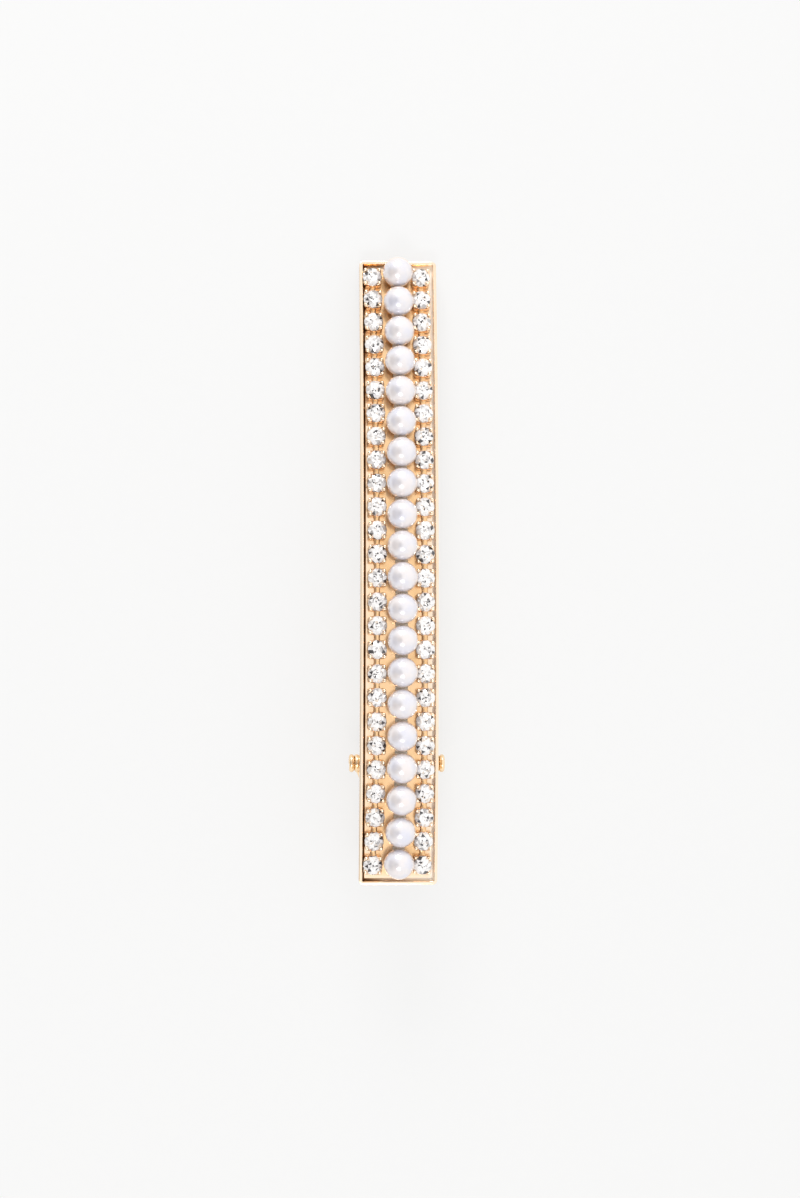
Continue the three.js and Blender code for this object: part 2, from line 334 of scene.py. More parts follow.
@dataclass(frozen=True)
class GoldPlating:
    """Polished light gold plating with faint wear and hairline marks.

    The mesh may store two values from 0 to 1. One is painted shade: it darkens the gold at the
    foot of the rim, in the cups, under the claw tips and over the links, and at middle strength it
    paints a warm reflection on the floor. The other is a painted highlight: it makes the plating
    pale, matt and less metallic so that it reads brighter.
    """

    name: str = "light_gold_plating"
    color: Point = (1.0, 0.825, 0.64)
    # Warm middle stop: painted warm reflection on the floor and links, and the tone random wear leans
    # towards; darkest stop: painted shade.
    deep_color: Point = (0.98, 0.63, 0.33)
    painted_shade_color: Point = (0.10, 0.042, 0.016)
    # Painted highlight: pale colour, less metal and more roughness where it is stored.
    painted_highlight_color: Point = (1.0, 0.95, 0.87)
    painted_highlight_matt: float = 0.8
    roughness: float = 0.08
    worn_roughness: float = 0.06
    painted_shade_roughness: float = 0.25
    painted_highlight_roughness: float = 0.45
    grain_roughness: float = 0.06
    worn_from: float = 0.42
    worn_to: float = 0.66
    worn_tarnish: float = 0.1
    deep_at: float = 0.35
    cloud_per_metre: float = 260.0
    grain_per_metre: float = 5000.0
    grain_depth: float = 0.0015 * MM

    def material(self) -> bpy.types.Material:
        """Build the material.

        Returns:
            The material.
        """
        shader = Shader.material(self.name)
        cloud = shader.noise(self.cloud_per_metre, 4.0)
        grain = shader.noise(self.grain_per_metre, 2.0)
        worn = shader.ramp(cloud, [(self.worn_from, BLACK), (self.worn_to, WHITE)])
        # Stored painted shade (warm painted reflection at middle strength) and stored painted highlight.
        crevice = shader.stored("crevice")
        brushed = shader.stored("brushed")
        stops = [(0.0, self.color), (self.deep_at, self.deep_color), (1.0, self.painted_shade_color)]
        color = shader.ramp(crevice + worn * self.worn_tarnish, stops)
        roughness = (
            self.roughness
            + worn * self.worn_roughness
            + crevice * self.painted_shade_roughness
            + brushed * self.painted_highlight_roughness
            + grain * self.grain_roughness
        )
        return shader.finish(
            # The painted highlight makes the gold pale and less metallic so that it reads brighter.
            Base_Color=shader.mix(brushed, color, self.painted_highlight_color),
            Metallic=1.0 - brushed * self.painted_highlight_matt,
            Roughness=roughness,
            Normal=shader.bump(grain, self.grain_depth),
        )


@dataclass(frozen=True)
class PearlLacquer:
    """Nacre-like lacquer: white with faint lavender and cream clouds under a clear gloss."""

    name: str = "pearl_lacquer"
    white: Point = (0.80, 0.765, 0.775)
    lavender: Point = (0.70, 0.705, 0.80)
    cream: Point = (0.87, 0.77, 0.73)
    # Painted reflection of the gold along the pearl's outline.
    rim: Point = (0.96, 0.73, 0.56)
    cloud_per_metre: float = 520.0
    lustre: float = 0.34
    skin_per_metre: float = 2600.0
    streak_per_metre: float = 620.0
    streak_depth: float = 0.05 * MM
    cool_from: float = 0.45
    cool_to: float = 0.75
    warm_from: float = 0.25
    warm_to: float = 0.48
    cream_share: float = 0.6
    gold_reflection_from: float = 0.55
    gold_reflection_to: float = 0.86
    gold_reflection_share: float = 0.85
    roughness: float = 0.10
    streak_roughness: float = 0.22
    coat_roughness: float = 0.07
    skin_share: float = 0.15
    index: float = 1.6

    def material(self) -> bpy.types.Material:
        """Build the material.

        Returns:
            The material.
        """
        shader = Shader.material(self.name)
        cloud = shader.noise(self.cloud_per_metre, 2.0)
        skin = shader.noise(self.skin_per_metre, 3.0)
        streak = shader.noise(self.streak_per_metre, 3.0, 0.6)
        cool = shader.ramp(cloud, [(self.cool_from, BLACK), (self.cool_to, WHITE)])
        warm = shader.ramp(cloud, [(self.warm_from, WHITE), (self.warm_to, BLACK)])
        tint = shader.mix(cool, self.white, self.lavender)
        tint = shader.mix(warm * self.cream_share, tint, self.cream)
        # Painted reflection of the gold towards the outline, where the gloss coat is thinned to let it show.
        facing = shader.node("ShaderNodeLayerWeight", None, {"Blend": 0.5}, "Facing")
        edge = shader.ramp(facing, [(self.gold_reflection_from, BLACK), (self.gold_reflection_to, WHITE)]) * self.gold_reflection_share
        return shader.finish(
            Base_Color=shader.mix(edge, tint, self.rim),
            Metallic=self.lustre,
            Roughness=self.roughness + streak * self.streak_roughness,
            IOR=self.index,
            Coat_Weight=1.0 - edge,
            Coat_IOR=self.index,
            Coat_Roughness=self.coat_roughness,
            Normal=shader.bump(streak + skin * self.skin_share, self.streak_depth),
        )


@dataclass(frozen=True)
class FoiledCrystal:
    """Cut glass over a foil back: mostly bright facets, with some grey, dark and tinted ones."""

    name: str = "foiled_crystal"
    # The facet tones are painted reflections: bright for the white room, grey and dark for darker
    # surroundings, tinted for coloured flashes.
    bright: Point = (0.90, 0.88, 0.865)
    grey: Point = (0.50, 0.48, 0.47)
    dark: Point = (0.04, 0.035, 0.04)
    tint: Point = (0.78, 0.66, 0.55)
    tone_steps: Point = (0.0, 0.58, 0.68, 0.76, 0.80, 0.90)
    mirror_from: float = 0.3
    mirror: float = 0.5
    veil_per_metre: float = 1400.0
    veil_share: float = 0.12
    veil_roughness: float = 0.05
    roughness: float = 0.03
    coat_roughness: float = 0.02
    index: float = 1.56

    def material(self) -> bpy.types.Material:
        """Build the material; the facets' own attribute chooses their tone.

        Returns:
            The material.
        """
        shader = Shader.material(self.name)
        spark = shader.stored("spark")
        # Each facet's stored value picks which painted reflection it shows.
        tones = (self.bright, self.grey, self.bright, self.tint, self.bright, self.dark)
        steps = {"steps": list(zip(self.tone_steps, tones))}
        facet = shader.node("ShaderNodeValToRGB", steps, {"Fac": spark})
        veil = shader.noise(self.veil_per_metre, 2.0)
        return shader.finish(
            Base_Color=shader.mix(veil * self.veil_share, facet, self.grey),
            Metallic=(spark > self.mirror_from) * self.mirror,
            Roughness=self.roughness + veil * self.veil_roughness,
            IOR=self.index,
            Coat_Weight=1.0,
            Coat_Roughness=self.coat_roughness,
        )


@dataclass(frozen=True)
class DriedGlue:
    """Clear adhesive that has dried slightly milky, with a wavy skin."""

    name: str = "dried_glue"
    clear: Point = (0.83, 0.72, 0.55)
    milky: Point = (0.92, 0.88, 0.80)
    cloud_per_metre: float = 900.0
    roughness: float = 0.22
    cloud_roughness: float = 0.2
    skin_depth: float = 0.02 * MM

    def material(self) -> bpy.types.Material:
        """Build the material.

        Returns:
            The material.
        """
        shader = Shader.material(self.name)
        cloud = shader.noise(self.cloud_per_metre, 3.0)
        return shader.finish(
            Base_Color=shader.mix(cloud, self.clear, self.milky),
            Roughness=self.roughness + cloud * self.cloud_roughness,
            Normal=shader.bump(cloud, self.skin_depth),
        )


@dataclass(frozen=True)
class StudioPaper:
    """Plain pale paper that the barrette lies on, softly lit through from below."""

    name: str = "studio_paper"
    color: Point = (0.20, 0.20, 0.199)
    glow: float = 0.70
    glow_color: Point = (1.0, 1.0, 0.998)
    glow_shade: Point = (0.99, 0.99, 0.985)
    fibre_per_metre: float = 700.0
    fibre_tone: float = 0.985

    def material(self) -> bpy.types.Material:
        """Build the material.

        Returns:
            The material.
        """
        shader = Shader.material(self.name)
        fibre = shader.noise(self.fibre_per_metre, 4.0)
        darker = tuple(self.fibre_tone * value for value in self.color)
        return shader.finish(
            Base_Color=shader.mix(fibre, self.color, darker),
            Roughness=0.9,
            Specular_IOR_Level=0.1,
            Emission_Color=shader.mix(fibre, self.glow_color, self.glow_shade),
            Emission_Strength=self.glow,
        )


# ---------------------------------------------------------------------------
# Mesh helpers
# ---------------------------------------------------------------------------


def spread(start: float, end: float, steps: int) -> list[float]:
    """Evenly spaced values from start to end, both included."""
    return [start + (end - start) * i / steps for i in range(steps + 1)]


def object_from_bmesh(name: str, shape: bmesh.types.BMesh, sharp_above: float) -> bpy.types.Object:
    """Turn a bmesh into an object with outward faces.

    Args:
        name: Name of the piece.
        shape: The bmesh, which is freed.
        sharp_above: Edges that bend more than this angle, in degrees, stay sharp.

    Returns:
        The linked object, at the origin.
    """
    bmesh.ops.recalc_face_normals(shape, faces=shape.faces)
    mesh = bpy.data.meshes.new(name)
    shape.to_mesh(mesh)
    shape.free()
    mesh.shade_smooth()
    mesh.set_sharp_from_angle(angle=math.radians(sharp_above))
    made = bpy.data.objects.new(name, mesh)
    bpy.context.scene.collection.objects.link(made)
    return made


def bridge_rings(shape: bmesh.types.BMesh, rings: Iterable[Ring]) -> list[list[bmesh.types.BMVert]]:
    """Skin a stack of closed rings that all have the same number of points.

    Args:
        shape: The bmesh to add to.
        rings: Points of each ring, in order.

    Returns:
        The rings' vertices.
    """
    rows = [[shape.verts.new(point) for point in ring] for ring in rings]
    for low, high in zip(rows, rows[1:]):
        for i in range(len(low)):
            j = (i + 1) % len(low)
            shape.faces.new((low[i], low[j], high[j], high[i]))
    return rows


def coat(piece: bpy.types.Object, material: bpy.types.Material) -> bpy.types.Object:
    """Give a piece its one material.

    Args:
        piece: The piece.
        material: Its finish.

    Returns:
        The same piece.
    """
    piece.data.materials.clear()
    piece.data.materials.append(material)
    return piece


def settle(piece: bpy.types.Object, body: Body, slot: Slot, replaced: Sequence[str]) -> None:
    """Tie a finished piece to its body and CAD nodes.

    Args:
        piece: The finished piece.
        body: The body that it rides on.
        slot: Not used.
        replaced: CAD nodes that it stands for.
    """
    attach(piece, body.value)
    if replaced:
        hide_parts(*replaced)
    LOG.info("%s: %d faces on %s", piece.name, len(piece.data.polygons), body.value)


def frozen_copy(piece: bpy.types.Object, name: str) -> bpy.types.Object:
    """Replace an object that has modifiers with a plain mesh of its evaluated shape.

    Args:
        piece: The object, which is removed.
        name: Name of the plain object.

    Returns:
        The plain object.
    """
    graph = bpy.context.evaluated_depsgraph_get()
    mesh = bpy.data.meshes.new_from_object(piece.evaluated_get(graph))
    bpy.data.objects.remove(piece)
    mesh.name = name
    made = bpy.data.objects.new(name, mesh)
    bpy.context.scene.collection.objects.link(made)
    return made


# ---------------------------------------------------------------------------
# Where things are
# ---------------------------------------------------------------------------


def pearl_nodes() -> list[str]:
    """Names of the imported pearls, in order along the plate."""
    nodes = (entry["node"] for entry in FRAME["record"]["subparts"])
    return sorted(node for node in nodes if node.startswith("pearl_") and node[-1].isdigit())


def box_centre(node: str) -> Vector:
    """Middle of a CAD node's box."""
    low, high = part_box(node)
    return (low + high) / 2


@dataclass(frozen=True)
class Arch:
    """The circle that the plate and its rows follow, in the YZ plane."""

    radius: float
    centre: Vector
    lean: float

    @classmethod
    def from_frame(cls, pearl_axis: float, hinge_s: float) -> "Arch":
        """Find the circle from three pearls and the hinge pin.

        Args:
            pearl_axis: Height of the pearls' centres above the plate's underside.
            hinge_s: Arc length of the hinge.

        Returns:
            The arch.
        """
        pearls = pearl_nodes()
        a, b, c = (box_centre(pearls[i]).yz for i in (0, len(pearls) // 2, -1))
        ab, ac = b - a, c - a
        twice = 2 * (ab.x * ac.y - ab.y * ac.x)
        across = ac.y * ab.length_squared - ab.y * ac.length_squared
        along = ab.x * ac.length_squared - ac.x * ab.length_squared
        centre = a + Vector((across, along)) / twice
        radius = (a - centre).length - pearl_axis
        pin = box_centre("hinge_pin").yz - centre
        lean = math.atan2(pin.x, pin.y) - hinge_s / radius
        return cls(radius, centre, lean)

    def turn(self, s: float) -> float:
        """Angle of the arch's outward direction from upright at arc length s."""
        return s / self.radius + self.lean

    def out(self, s: float) -> Vector:
        """Outward direction at arc length s."""
        return Vector((0.0, math.sin(self.turn(s)), math.cos(self.turn(s))))

    def along(self, s: float) -> Vector:
        """Direction towards the jaw tip at arc length s."""
        return Vector((0.0, math.cos(self.turn(s)), -math.sin(self.turn(s))))

    def at(self, s: float, h: float, x: float = 0.0) -> Vector:
        """Point at arc length s, height h and sideways place x."""
        centre = Vector((x, self.centre.x, self.centre.y))
        return centre + self.out(s) * (self.radius + h)


@dataclass(frozen=True)
class RowLine:
    """Sideways line of the hand-laid rows along the plate."""

    end_offset: float = -0.25 * MM
    bow: float = 0.46 * MM
    peak: float = -10 * MM
    tip_power: int = 2
    tail_power: int = 4
    half_length: float = 41 * MM

    def x(self, s: float) -> float:
        """Sideways place of the rows.

        Args:
            s: Arc length.

        Returns:
            The place, positive to the right.
        """
        towards_tip = s > self.peak
        reach = self.half_length - self.peak if towards_tip else self.half_length + self.peak
        power = self.tip_power if towards_tip else self.tail_power
        return self.end_offset + self.bow * (1 - (abs(s - self.peak) / reach) ** power)


# ---------------------------------------------------------------------------
# Geometry Nodes
# ---------------------------------------------------------------------------


class NodeTree:
    """Geometry node group with named inputs."""

    def __init__(self, name: str, inputs: dict[str, str]) -> None:
        """Start the group with its inputs and its one output.

        Args:
            name: Name of the group.
            inputs: Socket type of each named input.
        """
        self.group = bpy.data.node_groups.new(name, "GeometryNodeTree")
        self.sockets: dict[str, str] = {}
        for label, kind in {"Geometry": "NodeSocketGeometry", **inputs}.items():
            socket = self.group.interface.new_socket(label, in_out="INPUT", socket_type=kind)
            self.sockets[label] = socket.identifier
        self.group.interface.new_socket("Geometry", in_out="OUTPUT", socket_type="NodeSocketGeometry")
        self.start = self.group.nodes.new("NodeGroupInput")
        self.end = self.group.nodes.new("NodeGroupOutput")

    def node(
        self,
        kind: str,
        settings: dict[str, Any] | None = None,
        inputs: dict[Any, Any] | None = None,
    ) -> bpy.types.Node:
        """Add a node.

        Args:
            kind: The node's type.
            settings: Properties of the node.
            inputs: Values or output sockets for its inputs, by name or number.

        Returns:
            The node.
        """
        made = self.group.nodes.new(kind)
        for key, value in (settings or {}).items():
            setattr(made, key, value)
        for key, value in (inputs or {}).items():
            if isinstance(value, bpy.types.NodeSocket):
                self.group.links.new(value, made.inputs[key])
            else:
                made.inputs[key].default_value = value
        return made

    def given(self, label: str) -> bpy.types.NodeSocket:
        """Output socket of a named input."""
        return self.start.outputs[label]

    def close(self, geometry: bpy.types.NodeSocket) -> None:
        """Realize, set the finish and connect the result.

        Args:
            geometry: The socket that ends the tree's own work.
        """
        realized = self.node("GeometryNodeRealizeInstances", None, {0: geometry})
        finished = self.node(
            "GeometryNodeSetMaterial", None, {0: realized.outputs[0], "Material": self.given("Finish")}
        )
        self.group.links.new(finished.outputs[0], self.end.inputs[0])

    def apply(self, carrier: bpy.types.Object, name: str, **values: Any) -> bpy.types.Object:
        """Run the tree on a carrier object and return its plain result.

        Args:
            carrier: Object that holds the points or curve; it is removed.
            name: Name of the result.
            values: Values of the named inputs, with spaces written as underscores.

        Returns:
            The plain mesh object.
        """
        modifier = carrier.modifiers.new(name, "NODES")
        modifier.node_group = self.group
        for label, value in values.items():
            modifier[self.sockets[label.replace("_", " ")]] = value
        carrier.update_tag()
        return frozen_copy(carrier, name)


def setting_tree() -> NodeTree:
    """Tree that sets a prototype on every point, standing along the point's own direction.

    Returns:
        The tree, with a random spin and lean of up to the given angles.
    """
    tree = NodeTree("set_along_row", {
        "Prototype": "NodeSocketObject",
        "Spin": "NodeSocketFloat",
        "Lean": "NodeSocketFloat",
        "Seed": "NodeSocketInt",
        "Finish": "NodeSocketMaterial",
    })
    direction = tree.node(
        "GeometryNodeInputNamedAttribute", {"data_type": "FLOAT_VECTOR"}, {"Name": "out_dir"}
    )
    upright = tree.node(
        "FunctionNodeAlignRotationToVector", {"axis": "Z"}, {"Vector": direction.outputs[0]}
    )
    times = {"operation": "MULTIPLY"}
    low_spin = tree.node("ShaderNodeMath", times, {0: tree.given("Spin"), 1: -1.0})
    low_lean = tree.node("ShaderNodeMath", times, {0: tree.given("Lean"), 1: -1.0})
    spin = tree.node("FunctionNodeRandomValue", {"data_type": "FLOAT"}, {
        2: low_spin.outputs[0], 3: tree.given("Spin"), "Seed": tree.given("Seed"),
    })
    lean_x = tree.node("FunctionNodeRandomValue", {"data_type": "FLOAT"}, {
        2: low_lean.outputs[0], 3: tree.given("Lean"), "Seed": tree.given("Seed"),
    })
    angles = tree.node("ShaderNodeCombineXYZ", None, {0: lean_x.outputs[1], 2: spin.outputs[1]})
    turned = tree.node(
        "FunctionNodeRotateRotation", {"rotation_space": "LOCAL"},
        {"Rotation": upright.outputs[0], "Rotate By": angles.outputs[0]},
    )
    prototype = tree.node("GeometryNodeObjectInfo", None, {"Object": tree.given("Prototype")})
    placed = tree.node("GeometryNodeInstanceOnPoints", None, {
        "Points": tree.given("Geometry"),
        "Instance": prototype.outputs["Geometry"],
        "Rotation": turned.outputs[0],
    })
    tree.close(placed.outputs[0])
    return tree


def wire_tree() -> NodeTree:
    """Tree that sweeps a round wire along a curve.

    Returns:
        The tree.
    """
    tree = NodeTree("sweep_wire", {
        "Wire Radius": "NodeSocketFloat",
        "Sides": "NodeSocketInt",
        "Finish": "NodeSocketMaterial",
    })
    section = tree.node("GeometryNodeCurvePrimitiveCircle", None, {
        "Resolution": tree.given("Sides"), "Radius": tree.given("Wire Radius"),
    })
    swept = tree.node("GeometryNodeCurveToMesh", None, {
        "Curve": tree.given("Geometry"), "Profile Curve": section.outputs[0], "Fill Caps": True,
    })
    tree.close(swept.outputs[0])
    return tree


def point_carrier(name: str, places: Sequence[Vector], directions: Sequence[Vector]) -> bpy.types.Object:
    """Object that holds the points a tree sets pieces on.

    Args:
        name: Name of the carrier.
        places: The points.
        directions: Outward direction at each point.

    Returns:
        The carrier, linked to the scene.
    """
    mesh = bpy.data.meshes.new(name)
    mesh.from_pydata([tuple(place) for place in places], [], [])
    attribute = mesh.attributes.new("out_dir", "FLOAT_VECTOR", "POINT")
    for entry, direction in zip(attribute.data, directions):
        entry.vector = direction
    carrier = bpy.data.objects.new(name, mesh)
    bpy.context.scene.collection.objects.link(carrier)
    return carrier


# ---------------------------------------------------------------------------
# Plate
# ---------------------------------------------------------------------------


@dataclass
class DecoTray:
    """Arched plate with a raised, softly rounded rim.

    The foot of the rim stores painted shade, a dark line, except along the right side, where it
    stores a painted highlight that makes the rim pale and matt. The floor stores a painted warm
    reflection under the middle of the rows.
    """

    arch: Arch
    length: float = 82 * MM
    half_width: float = 5.09 * MM
    floor: float = 0.5 * MM
    rim_height: float = 0.85 * MM
    rim: float = 0.45 * MM
    corner: float = 0.6 * MM
    foot_rounding: float = 0.26 * MM
    foot_reach: float = 1.3
    lip_rounding: float = 0.09 * MM
    rounding_steps: int = 4
    sharpest_corner: float = 0.02 * MM
    # Painted warm reflection on the floor: how far across the middle it reaches, and its strength.
    warm_from: float = 0.60
    warm: float = 0.30
    stations: int = 110
    corner_steps: int = 6
    # Strength of the painted shade on each ring at the rim's foot; on the right side the same strengths
    # paint the highlight.
    crevice: Point = (0.7, 1.0, 1.0, 1.0, 1.0, 0.04)
    sharp_above: float = 40.0

    def _outline(self, inset: float, h: float) -> Ring:
        """Closed outline of the plate at one height.

        Args:
            inset: Distance from the plate's outer wall.
            h: Height.

        Returns:
            The outline's points.
        """
        half_s = self.length / 2 - inset
        half_x = self.half_width - inset
        radius = max(self.corner - inset, self.sharpest_corner)
        ring: Ring = []
        corners = ((1, 1, 0.0), (-1, 1, 90.0), (-1, -1, 180.0), (1, -1, 270.0))
        for side, end, start in corners:
            for angle in spread(start, start + 90.0, self.corner_steps):
                turn = math.radians(angle)
                x = side * (half_x - radius) + radius * math.cos(turn)
                s = end * (half_s - radius) + radius * math.sin(turn)
                ring.append(self.arch.at(s, h, x))
            if side == end:
                continue
            run = spread(end * (half_s - radius), -end * (half_s - radius), self.stations)[1:-1]
            ring.extend(self.arch.at(s, h, side * half_x) for s in run)
        return ring

    def _profile(self) -> list[tuple[float, float]]:
        """Section of the rim.

        Returns:
            Inset and height of each ring, from the underside over the rim to the floor.
        """
        top = self.floor + self.rim_height
        soft, foot, rim = self.lip_rounding, self.foot_rounding, self.rim
        turns = [math.radians(angle) for angle in spread(0.0, 90.0, self.rounding_steps)]
        under = [(soft * (1 - math.sin(t)), soft * (1 - math.cos(t))) for t in turns]
        rise = [(soft * (1 - math.cos(t)), soft * math.sin(t)) for t in turns]
        lip = [(inset, top - soft + lift) for inset, lift in rise]
        lip += [(rim - inset, top - soft + lift) for inset, lift in reversed(rise)]
        inner = [(rim + foot * (1 - math.cos(t)), self.floor + foot * (1 - math.sin(t))) for t in turns]
        return [*under, *lip, *inner, (rim + self.foot_reach * foot, self.floor)]

    def _edges(self, row: list[bmesh.types.BMVert]) -> tuple[list[bmesh.types.BMVert], ...]:
        """Split a ring of the plate into its runs.

        Args:
            row: The ring's vertices, as the outline orders them.

        Returns:
            The jaw tip's end, the left side, the tail's end and the right side. Both sides run
            from the tip to the tail.
        """
        per_end = (self.corner_steps + 1) * 2
        run = self.stations - 1
        left = row[per_end: per_end + run]
        right = row[per_end * 2 + run:][::-1]
        return row[:per_end], left, row[per_end + run: per_end * 2 + run], right

    def _close_underside(self, shape: bmesh.types.BMesh, row: list[bmesh.types.BMVert]) -> None:
        """Close the lowest ring with strips across the plate.

        Args:
            shape: The plate's bmesh.
            row: The lowest ring.
        """
        tip, left, tail, right = self._edges(row)
        shape.faces.new([right[0], *tip, left[0]])
        shape.faces.new([left[-1], *tail, right[-1]])
        for i in range(len(left) - 1):
            shape.faces.new((right[i], left[i], left[i + 1], right[i + 1]))

    def _close_floor(
        self, shape: bmesh.types.BMesh, row: list[bmesh.types.BMVert], crevice: Any
    ) -> None:
        """Close the tray's floor, with two lines of points along it that carry the painted warm reflection.

        Args:
            shape: The plate's bmesh.
            row: The innermost ring.
            crevice: The layer that stores the painted warm reflection.
        """
        tip, left, tail, right = self._edges(row)
        columns = [right]
        # Two lines of points that carry the painted warm reflection across the floor.
        for share in (self.warm_from, -self.warm_from):
            column = []
            for one, other in zip(right, left):
                vert = shape.verts.new(one.co.lerp(other.co, 0.5 - 0.5 * share))
                vert[crevice] = self.warm
                column.append(vert)
            columns.append(column)
        columns.append(left)
        shape.faces.new([*tip, *(column[0] for column in reversed(columns))])
        shape.faces.new([*tail, *(column[-1] for column in columns)])
        for one, other in zip(columns, columns[1:]):
            for i in range(len(one) - 1):
                shape.faces.new((one[i], other[i], other[i + 1], one[i + 1]))

    def build(self) -> bpy.types.Object:
        """Build the plate.

        Returns:
            The plate.
        """
        shape = bmesh.new()
        names = ("crevice", "brushed")
        for name in names:
            shape.verts.layers.float.new(name)
        crevice, brushed = (shape.verts.layers.float[name] for name in names)
        rows = bridge_rings(shape, (self._outline(inset, h) for inset, h in self._profile()))
        self._close_underside(shape, rows[0])
        self._close_floor(shape, rows[-1], crevice)
        # Painted shade along the rim's foot, except on the right side, where the same strengths paint a
        # pale, matt highlight.
        for row, value in zip(rows[-len(self.crevice):], self.crevice):
            for vert in row:
                on_right = vert.co.x > self.half_width - 2 * self.corner
                vert[brushed if on_right else crevice] = value
        return object_from_bmesh("rimmed_plate", shape, self.sharp_above)

    def dress(self, gold: bpy.types.Material) -> None:
        """Build the plate, give it its finish and settle it."""
        settle(coat(self.build(), gold), Body.PLATE, Slot.GOLD, ["deco_tray"])


# ---------------------------------------------------------------------------
# Pearls
# ---------------------------------------------------------------------------


@dataclass
class PearlRow:
    """Round pearls, each a separate bead that is a little out of round."""

    radius: float = 1.98 * MM
    segments: int = 56
    rings: int = 36
    uneven: float = 0.006
    swell_scale: float = 1.3

    def build(self, index: int, centre: Vector) -> bpy.types.Object:
        """Build one bead about its centre.

        Args:
            index: Number of the pearl, which sets its unevenness.
            centre: Middle of the bead.

        Returns:
            The bead.
        """
        shape = bmesh.new()
        bmesh.ops.create_uvsphere(
            shape, u_segments=self.segments, v_segments=self.rings, radius=self.radius
        )
        for vert in shape.verts:
            way = vert.co.normalized()
            swell = noise(way * self.swell_scale + Vector((7.1 * index, 3.0, 0.0)))
            vert.co = centre + vert.co * (1 - self.uneven * (0.5 + 0.5 * swell))
        return object_from_bmesh(f"bead_{index:02d}", shape, ROUND)

    def dress(self, lacquer: bpy.types.Material) -> None:
        """Build every pearl, give it its finish and settle it.

        Args:
            lacquer: Finish of the pearls.
        """
        for index, node in enumerate(pearl_nodes(), start=1):
            bead = self.build(index, box_centre(node))
            settle(coat(bead, lacquer), Body.PLATE, Slot.PEARL, [node])


# ---------------------------------------------------------------------------
# Rhinestone chain
# ---------------------------------------------------------------------------


